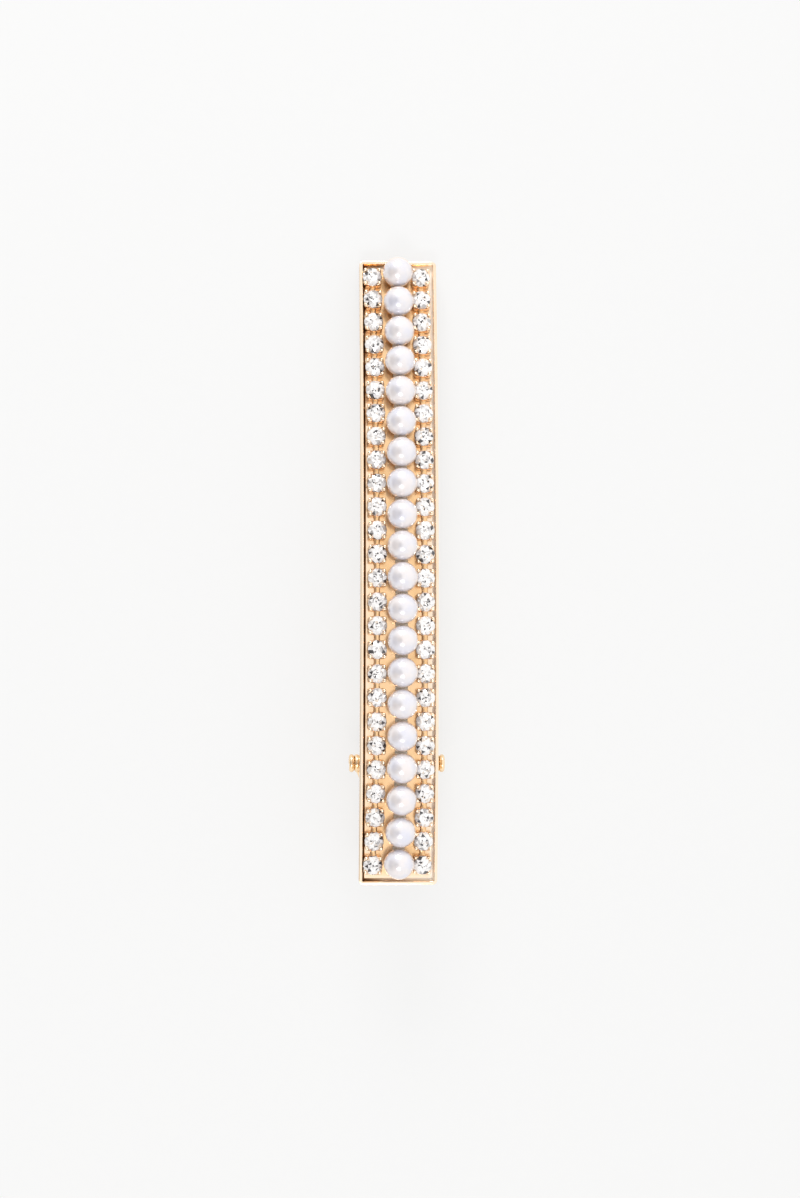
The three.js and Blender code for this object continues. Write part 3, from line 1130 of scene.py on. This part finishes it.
@dataclass
class CupChain:
    """Cup chain with its claws, links and stones."""

    arch: Arch
    line: RowLine
    offset: float = 3.2 * MM
    tuck: float = 0.09 * MM
    # Painted warm shade over every link.
    link_painted_shade: float = 0.32
    count: int = 26
    pitch: float = 3.08 * MM
    first: float = 38.6 * MM
    seat: float = 0.54 * MM
    cup_radius: float = 1.22 * MM
    cup_height: float = 1.0 * MM
    wall: float = 0.1 * MM
    claw_height: float = 0.46 * MM
    claw_half_angle: float = 24.0
    claw_bulge: float = 0.27 * MM
    stone_radius: float = 1.26 * MM
    girdle_h: float = 1.18 * MM
    table_h: float = 1.72 * MM
    table_radius: float = 0.72 * MM
    segments: int = 48
    cup_sharp_above: float = 50.0
    # Painted shade on each ring of the cup: darker at its foot, where it meets the floor, and on its inner
    # wall under the stone.
    crevice: Point = (0.8, 0.8, 0.6, 0.45, 0.15, 0.0, 0.0, 0.5, 1.0, 1.0, 1.0)
    tip_reach: float = 0.08 * MM
    tip_radius: float = 0.22 * MM
    tip_h: float = 1.46 * MM
    tip_flat: float = 0.7
    tip_skirt: float = 0.06 * MM
    # Painted shade on the underside of each claw tip, below the skirt height.
    tip_painted_shade: float = 0.45
    link_length: float = 0.95 * MM
    link_waist: float = 0.36 * MM
    link_flare: float = 0.5 * MM
    link_thickness: float = 0.13 * MM
    link_swell: float = 0.1 * MM
    link_h: float = 0.24 * MM
    cup_spin: float = 0.05
    stone_spin: float = 0.4
    lean: float = 0.03

    def _claw(self, angle: float) -> float:
        """How much of a claw there is at an angle, from 0 to 1."""
        off = abs((angle % 90.0) - 45.0)
        return max(0.0, 1.0 - (off / self.claw_half_angle) ** 2)

    def _cup_ring(self, radius: float, h: float, lift: float, lean: float) -> Ring:
        """One ring of the cup's shell.

        Args:
            radius: Radius between the claws.
            h: Height between the claws.
            lift: How much higher the ring is at the claws.
            lean: How far the claws lean in from their widest place.

        Returns:
            The ring's points.
        """
        ring: Ring = []
        for i in range(self.segments):
            angle = 360.0 * i / self.segments
            claw = self._claw(angle)
            r = radius + (self.claw_bulge - lean) * claw
            turn = math.radians(angle)
            ring.append(Vector((r * math.cos(turn), r * math.sin(turn), h + lift * claw)))
        return ring

    def cup(self) -> bpy.types.Object:
        """Build one cup: a turned wall whose lip rises into four claws that hold the stone.

        Returns:
            The cup, as a prototype at the origin.
        """
        r, top, lift = self.cup_radius, self.cup_height, self.claw_height
        rings = [
            self._cup_ring(0.30 * r, 0.0, 0.0, 0.0),
            self._cup_ring(0.93 * r, 0.0, 0.0, 0.0),
            self._cup_ring(0.99 * r, 0.05 * MM, 0.0, 0.0),
            self._cup_ring(0.97 * r, 0.40 * MM, 0.0, 0.0),
            self._cup_ring(r, 0.8 * top, 0.2 * lift, 0.0),
            self._cup_ring(r, top, 0.75 * lift, 0.03 * MM),
            self._cup_ring(r - 0.04 * MM, top + 0.01 * MM, lift, 0.16 * MM),
            self._cup_ring(r - 0.10 * MM, top, lift, 0.24 * MM),
            self._cup_ring(r - self.wall, 0.9 * top, 0.5 * lift, 0.20 * MM),
            self._cup_ring(r - self.wall, 0.45 * top, 0.0, self.claw_bulge),
            self._cup_ring(0.30 * r, 0.40 * top, 0.0, self.claw_bulge),
        ]
        shape = bmesh.new()
        layer = shape.verts.layers.float.new("crevice")
        rows = bridge_rings(shape, rings)
        shape.faces.new(rows[0])
        shape.faces.new(rows[-1])
        # Painted shade on the cup's rings.
        for row, value in zip(rows, self.crevice):
            for vert in row:
                vert[layer] = value
        return object_from_bmesh("cup_prototype", shape, self.cup_sharp_above)

    def claw_bead(self) -> bpy.types.Object:
        """Build the four rounded claw tips of one cup.

        Returns:
            The tips, as a prototype at the origin.
        """
        shape = bmesh.new()
        layer = shape.verts.layers.float.new("crevice")
        reach = self.cup_radius + self.tip_reach
        for corner in range(4):
            angle = math.radians(45.0 + 90.0 * corner)
            place = Vector((reach * math.cos(angle), reach * math.sin(angle), self.tip_h))
            tip = bmesh.ops.create_icosphere(shape, subdivisions=2, radius=self.tip_radius)
            for vert in tip["verts"]:
                # Painted shade on the lower part of the tip.
                vert[layer] = self.tip_painted_shade if vert.co.z < self.tip_skirt else 0.0
                vert.co.z *= self.tip_flat
                vert.co += place
        return object_from_bmesh("claw_prototype", shape, ROUND)

    def link(self) -> bpy.types.Object:
        """Build one link: a waisted strip between neighbouring cups.

        Returns:
            The link, as a prototype at the origin.
        """
        shape = bmesh.new()
        layer = shape.verts.layers.float.new("crevice")
        rings = []
        for y in spread(-0.5, 0.5, 8):
            half_x = self.link_waist + self.link_flare * y * y
            half_z = self.link_thickness + self.link_swell * y * y
            turns = (math.radians(angle) for angle in range(0, 360, 30))
            rings.append([
                Vector((half_x * math.cos(t), y * self.link_length, half_z * math.sin(t) + self.link_h))
                for t in turns
            ])
        rows = bridge_rings(shape, rings)
        shape.faces.new(rows[0])
        shape.faces.new(rows[-1])
        # Painted shade over the whole link.
        for vert in shape.verts:
            vert[layer] = self.link_painted_shade
        return object_from_bmesh("link_prototype", shape, 60)

    def stone(self) -> bpy.types.Object:
        """Build one stone: a cut crown whose table shows the facets of the pavilion behind it.

        Returns:
            The stone, as a prototype at the origin.
        """
        r, table_r = self.stone_radius, self.table_radius
        girdle_h, table_h = self.girdle_h, self.table_h
        middle_h = (girdle_h + table_h) / 2 + 0.03 * MM
        shape = bmesh.new()
        foot = self._ring(shape, 16, 0.0, 0.96 * r, girdle_h - 0.16 * MM)
        belt = self._ring(shape, 16, 0.0, r, girdle_h - 0.05 * MM)
        girdle = self._ring(shape, 16, 0.0, 0.99 * r, girdle_h)
        kite = self._ring(shape, 8, 0.5, 0.88 * r, middle_h)
        table = self._ring(shape, 8, 0.0, table_r, table_h)
        outer = self._ring(shape, 16, 0.25, 0.80 * table_r, table_h - 0.05 * MM)
        inner = self._ring(shape, 16, 0.25, 0.45 * table_r, table_h - 0.11 * MM)
        culet = self._ring(shape, 8, 0.0, 0.18 * table_r, table_h - 0.04 * MM)
        for low, high in ((foot, belt), (belt, girdle), (outer, inner)):
            for i in range(16):
                j = (i + 1) % 16
                shape.faces.new((low[i], low[j], high[j], high[i]))
        for i in range(8):
            j, k = (i + 1) % 8, (2 * i + 2) % 16
            shape.faces.new((girdle[2 * i], girdle[2 * i + 1], kite[i]))
            shape.faces.new((girdle[2 * i + 1], girdle[k], kite[i]))
            shape.faces.new((girdle[2 * i], kite[i], table[i]))
            shape.faces.new((girdle[2 * i], table[i], kite[i - 1]))
            shape.faces.new((table[i], kite[i], table[j]))
            shape.faces.new((table[i], table[j], outer[2 * i + 1], outer[2 * i]))
            shape.faces.new((table[j], outer[k], outer[2 * i + 1]))
            shape.faces.new((inner[2 * i], inner[2 * i + 1], culet[j], culet[i]))
            shape.faces.new((inner[2 * i + 1], inner[k], culet[j]))
        shape.faces.new(culet)
        shape.faces.new(foot)
        return object_from_bmesh("stone_prototype", shape, FACETED)

    @staticmethod
    def _ring(
        shape: bmesh.types.BMesh, count: int, shift: float, radius: float, h: float
    ) -> list[bmesh.types.BMVert]:
        """Vertices of a level ring, turned by a share of one step."""
        turns = (2 * math.pi * (i + shift) / count for i in range(count))
        return [shape.verts.new((radius * math.cos(t), radius * math.sin(t), h)) for t in turns]

    def _tuck(self, s: float) -> float:
        """How far the row is pushed in under the pearls at arc length s."""
        return self.tuck * (1 - (s / self.first) ** 2)

    def _places(self, side: Side, between: bool) -> tuple[list[Vector], list[Vector]]:
        """Places of the cups, or of the links between them.

        Args:
            side: The row.
            between: Whether the links are wanted.

        Returns:
            The points and their outward directions.
        """
        count = self.count - 1 if between else self.count
        start = self.first - (self.pitch / 2 if between else 0.0)
        stations = [start - i * self.pitch for i in range(count)]
        places = [
            self.arch.at(s, self.seat, side.value * (self.offset - self._tuck(s)) + self.line.x(s))
            for s in stations
        ]
        return places, [self.arch.out(s) for s in stations]

    def _set(
        self, tree: NodeTree, side: Side, what: str, prototype: bpy.types.Object,
        finish: bpy.types.Material, spin: float, lean: float,
    ) -> bpy.types.Object:
        """Set one prototype along one row.

        Args:
            tree: The tree that sets pieces along a row.
            side: The row.
            what: Name of what is set.
            prototype: The piece to repeat.
            finish: Its finish.
            spin: Largest random turn about its own axis, in radians.
            lean: Largest random lean, in radians.

        Returns:
            The row of pieces.
        """
        places, directions = self._places(side, what == "links")
        name = f"{what}_{side.name.lower()}"
        carrier = point_carrier(f"{name}_points", places, directions)
        seed = 11 if side is Side.LEFT else 23
        return tree.apply(
            carrier, name, Prototype=prototype, Spin=spin, Lean=lean, Seed=seed, Finish=finish
        )

    def dress(self, tree: NodeTree, gold: bpy.types.Material, crystal: bpy.types.Material) -> None:
        """Build both rows, give them their finishes and settle them.

        Args:
            tree: The tree that sets pieces along a row.
            gold: Finish of the cups, claws and links.
            crystal: Finish of the stones.
        """
        cup, claws, link, stone = self.cup(), self.claw_bead(), self.link(), self.stone()
        for side in Side:
            node = f"rhinestone_chain_{side.name.lower()}"
            for what, prototype, spin, lean in (
                ("cups", cup, self.cup_spin, self.lean),
                ("claws", claws, self.cup_spin, self.lean),
                ("links", link, 0.0, 0.0),
            ):
                row = self._set(tree, side, what, prototype, gold, spin, lean)
                settle(row, Body.PLATE, Slot.GOLD, [node])
            stones = self._set(tree, side, "stones", stone, crystal, self.stone_spin, self.lean)
            self._mark_facets(stones, 5 if side is Side.LEFT else 9)
            settle(stones, Body.PLATE, Slot.STONE, [node])
        for prototype in (cup, claws, link, stone):
            bpy.data.objects.remove(prototype)

    @staticmethod
    def _mark_facets(stones: bpy.types.Object, seed: int) -> None:
        """Store on every facet how it catches the light.

        Args:
            stones: The row of stones.
            seed: Start of the fixed pattern.
        """
        attribute = stones.data.attributes.new("spark", "FLOAT", "FACE")
        for index, entry in enumerate(attribute.data):
            entry.value = (math.sin(index * 12.9898 + seed * 78.233) * 43758.5453) % 1.0


# ---------------------------------------------------------------------------
# Clip
# ---------------------------------------------------------------------------


@dataclass
class ClipArm:
    """Stamped arm of the clip, with its cut edges broken."""

    node: str
    name: str
    body: Body
    edge: float = 0.07 * MM
    segments: int = 2
    merge_within: float = 0.0005 * MM
    flat_within: float = math.radians(0.02)
    edge_above: float = math.radians(35)

    def build(self) -> bpy.types.Object:
        """Build the arm from a merged copy of its CAD mesh.

        Returns:
            The arm.
        """
        shape = bmesh.new()
        shape.from_mesh(FRAME["nodes"][self.node].data)
        bmesh.ops.remove_doubles(shape, verts=shape.verts, dist=self.merge_within)
        bmesh.ops.dissolve_limit(
            shape, angle_limit=self.flat_within, verts=shape.verts, edges=shape.edges
        )
        rough = object_from_bmesh(f"{self.name}_rough", shape, 30)
        bevel = rough.modifiers.new("edges", "BEVEL")
        bevel.width = self.edge
        bevel.segments = self.segments
        bevel.limit_method = "ANGLE"
        bevel.angle_limit = self.edge_above
        return frozen_copy(rough, self.name)

    def dress(self, gold: bpy.types.Material) -> None:
        """Build the arm, give it its finish and settle it."""
        settle(coat(self.build(), gold), self.body, Slot.GOLD, [self.node])


@dataclass
class Hinge:
    """Hinge pin and the double torsion spring on it."""

    arch: Arch
    hinge_s: float = HINGE_S
    pin_radius: float = 0.475 * MM
    pin_clearance: float = 0.05 * MM
    pin_drop: float = 2.3 * MM
    hair_gap: float = 4.7 * MM
    arm_width: float = 7.2 * MM
    lug_gap: float = 0.25 * MM
    seat_gap: float = 0.04 * MM
    wire_radius: float = 0.33 * MM
    coil_pitch: float = 0.7 * MM
    coil_turns: float = 2.5
    leg_reach: float = 6.4 * MM
    tail_bend: float = math.radians(16)
    bend_radius: float = 10 * MM
    points_per_turn: int = 40
    wire_step: float = 0.25 * MM
    wire_sides: int = 14
    end_sharp_above: float = math.radians(50)
    pin_sides: int = 32

    @property
    def coil_radius(self) -> float:
        """Radius of the coil at the middle of its wire."""
        return self.pin_radius + self.pin_clearance + self.wire_radius

    def _place(self, x: float, along: float, out: float) -> Vector:
        """Point near the hinge.

        Args:
            x: Sideways place from the plate's middle.
            along: Distance from the pin towards the jaw tip.
            out: Distance from the pin outwards.

        Returns:
            The point.
        """
        centre = box_centre("hinge_pin")
        side = centre + self.arch.along(self.hinge_s) * along + self.arch.out(self.hinge_s) * out
        return Vector((x, side.y, side.z))

    def _tail_face(self, along: float) -> float:
        """Inner face of the lower arm behind its bend.

        Args:
            along: Distance from the pin towards the jaw tip.

        Returns:
            Its distance outwards from the pin.
        """
        straight = -along - self.bend_radius * math.sin(self.tail_bend)
        drop = self.bend_radius * (1 - math.cos(self.tail_bend))
        return self.pin_drop - self.hair_gap - drop - straight * math.tan(self.tail_bend)

    def _half_route(self) -> list[Vector]:
        """Guide points of the spring's right half.

        The wire leaves the bridge under the plate, winds outwards in upright rings and runs back
        to the hook on the lower arm.

        Returns:
            The points, in order.
        """
        r = self.coil_radius
        inner = self.arm_width / 2 + self.lug_gap + self.wire_radius
        outer = inner + self.coil_turns * self.coil_pitch
        rings = (inner, outer - self.coil_pitch, outer, outer)
        reach, corner = self.leg_reach, 2.4 * self.wire_radius
        drop = reach ** 2 / (2 * self.arch.radius)
        bridge_out = self.pin_drop - self.seat_gap - self.wire_radius - drop
        rest = (self.seat_gap + self.wire_radius) / math.cos(self.tail_bend)
        hook_out = self._tail_face(-reach) + rest
        place = self._place
        route = [
            place(0.0, -reach, bridge_out),
            place((inner - corner) / 2, -reach, bridge_out),
            place(inner - corner, -reach, bridge_out),
            place(inner, corner - reach, bridge_out),
            place(inner, -2 * r, (bridge_out + 2 * r) / 3),
        ]
        for turn in spread(0.0, self.coil_turns, int(self.coil_turns * self.points_per_turn)):
            angle = math.pi / 2 - 2 * math.pi * turn
            step = min(1.0, max(0.0, 2.0 * (turn % 1.0) - 0.5))
            x = rings[int(turn)] * (1.0 - step) + rings[int(turn) + 1] * step
            route.append(place(x, r * math.cos(angle), r * math.sin(angle)))
        route += [
            place(outer - 1.2 * self.wire_radius, -0.5 * r, -1.25 * r),
            place(outer - 3.2 * self.wire_radius, -1.4 * r, -1.8 * r),
            place(inner, -reach / 2, (hook_out - 1.8 * r) / 2),
            place(inner, corner - reach, hook_out),
            place(inner - corner, -reach, hook_out),
            place(self.arm_width / 5, -reach, hook_out),
        ]
        return route

    @staticmethod
    def _smooth(points: list[Vector], step: float) -> list[Vector]:
        """Centripetal Catmull-Rom line through points.

        Args:
            points: The points.
            step: Largest distance between the line's own points.

        Returns:
            The line.
        """
        line = [points[0]]
        padded = [points[0] * 2 - points[1], *points, points[-1] * 2 - points[-2]]
        for p0, p1, p2, p3 in zip(padded, padded[1:], padded[2:], padded[3:]):
            t1 = (p1 - p0).length ** 0.5
            t2 = t1 + (p2 - p1).length ** 0.5
            t3 = t2 + (p3 - p2).length ** 0.5
            steps = max(1, math.ceil((p2 - p1).length / step))
            for t in spread(t1, t2, steps)[1:]:
                a1 = p0.lerp(p1, t / t1)
                a2 = p1.lerp(p2, (t - t1) / (t2 - t1))
                a3 = p2.lerp(p3, (t - t2) / (t3 - t2))
                b1 = a1.lerp(a2, t / t2)
                b2 = a2.lerp(a3, (t - t1) / (t3 - t1))
                line.append(b1.lerp(b2, (t - t1) / (t2 - t1)))
        return line

    def spring(self, tree: NodeTree, wire: bpy.types.Material) -> bpy.types.Object:
        """Build the spring as one wire swept along its route.

        Args:
            tree: The tree that sweeps a wire.
            wire: Finish of the wire.

        Returns:
            The spring.
        """
        right = self._smooth(self._half_route(), self.wire_step)
        left = [Vector((-p.x, p.y, p.z)) for p in right[:0:-1]]
        route = left + right
        curve = bpy.data.curves.new("spring_route", "CURVE")
        curve.dimensions = "3D"
        spline = curve.splines.new("POLY")
        spline.points.add(len(route) - 1)
        for point, place in zip(spline.points, route):
            point.co = (*place, 1.0)
        carrier = bpy.data.objects.new("spring_route", curve)
        bpy.context.scene.collection.objects.link(carrier)
        made = tree.apply(
            carrier, "sprung_wire", Wire_Radius=self.wire_radius, Sides=self.wire_sides, Finish=wire
        )
        made.data.shade_smooth()
        made.data.set_sharp_from_angle(angle=self.end_sharp_above)
        return made

    def pin(self) -> bpy.types.Object:
        """Build the pin as a turned shaft with broken, slightly domed ends.

        Returns:
            The pin.
        """
        low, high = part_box("hinge_pin")
        centre = (low + high) / 2
        half, r = (high.x - low.x) / 2, self.pin_radius
        profile = [
            (-half, 0.25 * r), (-half + 0.02 * MM, 0.6 * r), (-half + 0.08 * MM, 0.9 * r),
            (-half + 0.16 * MM, r), (half - 0.16 * MM, r), (half - 0.08 * MM, 0.9 * r),
            (half - 0.02 * MM, 0.6 * r), (half, 0.25 * r),
        ]
        turns = [2 * math.pi * i / self.pin_sides for i in range(self.pin_sides)]
        shape = bmesh.new()
        rows = bridge_rings(shape, [
            [centre + Vector((x, radius * math.cos(t), radius * math.sin(t))) for t in turns]
            for x, radius in profile
        ])
        shape.faces.new(rows[0])
        shape.faces.new(rows[-1])
        return object_from_bmesh("turned_pin", shape, 40)

    def dress(self, tree: NodeTree, gold: bpy.types.Material, wire: bpy.types.Material) -> None:
        """Build the pin and the spring, give them their finishes and settle them.

        Args:
            tree: The tree that sweeps a wire.
            gold: Finish of the pin.
            wire: Finish of the spring.
        """
        settle(coat(self.pin(), gold), Body.PLATE, Slot.GOLD, ["hinge_pin"])
        spring = self.spring(tree, wire)
        start = self._place(0.0, 0.0, self.coil_radius)
        end = self._place(0.0, 0.0, -self.coil_radius)
        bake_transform(spring, Body.PLATE.value, Body.JAW.value, start=tuple(start), end=tuple(end))
        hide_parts("torsion_spring")
        LOG.info("%s: %d faces between the arms", spring.name, len(spring.data.polygons))


# ---------------------------------------------------------------------------
# Studio
# ---------------------------------------------------------------------------


@dataclass(frozen=True)
class Card:
    """Round grey card in the white room, which darkens some of the reflections.

    The card covers directions whose cosine to its own passes from outer to inner.
    """

    direction: Point
    outer: float
    inner: float
    tone: Point


@dataclass(frozen=True)
class Softbox:
    """Rectangular soft light, by its direction from the barrette, its size and its power in watts."""

    name: str
    direction: Point
    size: Point
    power: float


@dataclass
class Studio:
    """Pale paper, soft light and the camera."""

    target: Vector
    distance: float = 293 * MM
    view_turn: Point = (math.radians(-0.73), math.radians(-4.42), math.radians(0.4))
    lens_mm: float = 67.5
    paper_size: float = 3.0
    room_tone: Point = WHITE
    room_strength: float = 1.06
    cards: tuple[Card, ...] = (
        Card((-0.47, 0.04, 0.88), 0.885, 0.985, (0.28, 0.27, 0.29)),
        Card((-0.92, 0.0, 0.39), 0.66, 0.96, (0.40, 0.37, 0.36)),
    )
    softboxes: tuple[Softbox, ...] = (
        Softbox("far_softbox", (-0.12, 0.90, 0.44), (0.20, 0.12), 0.75),
        Softbox("near_softbox", (-0.10, -0.52, 0.85), (0.14, 0.10), 0.34),
    )
    softbox_distance: float = 0.42

    def _hang(self, softbox: Softbox) -> None:
        """Add one soft light that faces the barrette.

        Args:
            softbox: The light.
        """
        light = bpy.data.lights.new(softbox.name, "AREA")
        light.shape = "RECTANGLE"
        light.size, light.size_y = softbox.size
        light.energy = softbox.power
        box = bpy.data.objects.new(softbox.name, light)
        way = Vector(softbox.direction).normalized()
        box.location = self.target + way * self.softbox_distance
        box.rotation_euler = way.to_track_quat("Z", "Y").to_euler()
        bpy.context.scene.collection.objects.link(box)

    def paper(self, finish: bpy.types.Material) -> None:
        """Lay the paper that the barrette rests on.

        Args:
            finish: Finish of the paper.
        """
        half = self.paper_size / 2
        mesh = bpy.data.meshes.new("paper")
        mesh.from_pydata([(-half, -half, 0), (half, -half, 0), (half, half, 0), (-half, half, 0)],
                         [], [(0, 1, 2, 3)])
        sheet = bpy.data.objects.new("paper", mesh)
        bpy.context.scene.collection.objects.link(sheet)
        coat(sheet, finish)

    def lights(self) -> None:
        """Add the soft lights and an even white surround."""
        for softbox in self.softboxes:
            self._hang(softbox)
        room = Shader(bpy.data.worlds.new("white_room"))
        place = room.node("ShaderNodeTexCoord", output="Generated")
        tone: Any = self.room_tone
        for card in self.cards:
            toward = {0: place, 1: card.direction}
            facing = room.node("ShaderNodeVectorMath", {"operation": "DOT_PRODUCT"}, toward, "Value")
            share = room.ramp(facing, [(card.outer, BLACK), (card.inner, WHITE)])
            tone = room.mix(share, tone, card.tone)
        bpy.context.scene.world = room.surround(tone, self.room_strength)

    def camera(self) -> None:
        """Add the camera, looking down on the barrette from slightly to its left."""
        camera = bpy.data.cameras.new("overhead_camera")
        camera.lens = self.lens_mm
        camera.sensor_width = 36.0
        camera.clip_start = 0.01
        holder = bpy.data.objects.new("overhead_camera", camera)
        turn = Euler(self.view_turn)
        holder.location = self.target + turn.to_matrix() @ Vector((0.0, 0.0, self.distance))
        holder.rotation_euler = turn
        bpy.context.scene.collection.objects.link(holder)
        bpy.context.scene.camera = holder

    def build(self, paper: bpy.types.Material) -> None:
        """Set up the studio.

        Args:
            paper: Finish of the paper.
        """
        self.paper(paper)
        self.lights()
        self.camera()
        settings = bpy.context.scene.view_settings
        settings.view_transform = "Standard"
        settings.look = "None"
        settings.exposure = 0.0


def main() -> None:
    """Build every sub-assembly around the frame."""
    logging.basicConfig(level=logging.INFO, format="%(name)s: %(message)s")
    gold = GoldPlating().material()
    wire = GoldPlating(
        name="gold_wire", color=(1.0, 0.77, 0.50), roughness=0.18, grain_depth=0.0002 * MM
    ).material()
    lacquer = PearlLacquer().material()
    crystal = FoiledCrystal().material()
    arch = Arch.from_frame(PEARL_AXIS, HINGE_S)
    LOG.info("arch radius %.2f mm, lean %.3f deg", arch.radius / MM, math.degrees(arch.lean))

    DecoTray(arch).dress(gold)
    PearlRow().dress(lacquer)
    CupChain(arch, RowLine()).dress(setting_tree(), gold, crystal)
    ClipArm("upper_arm", "stamped_upper_arm", Body.PLATE).dress(gold)
    ClipArm("lower_arm", "stamped_lower_arm", Body.JAW).dress(gold)
    Hinge(arch).dress(wire_tree(), gold, wire)
    coat(FRAME["nodes"]["pearl_glue"], DriedGlue().material())

    low, high = CAD_BOX
    middle = (Vector(low) + Vector(high)) / 2
    target = Vector((0.2 * MM, middle.y - 4.0 * MM, 8.0 * MM))
    Studio(target).build(StudioPaper().material())


if __name__ == "__main__":
    main()
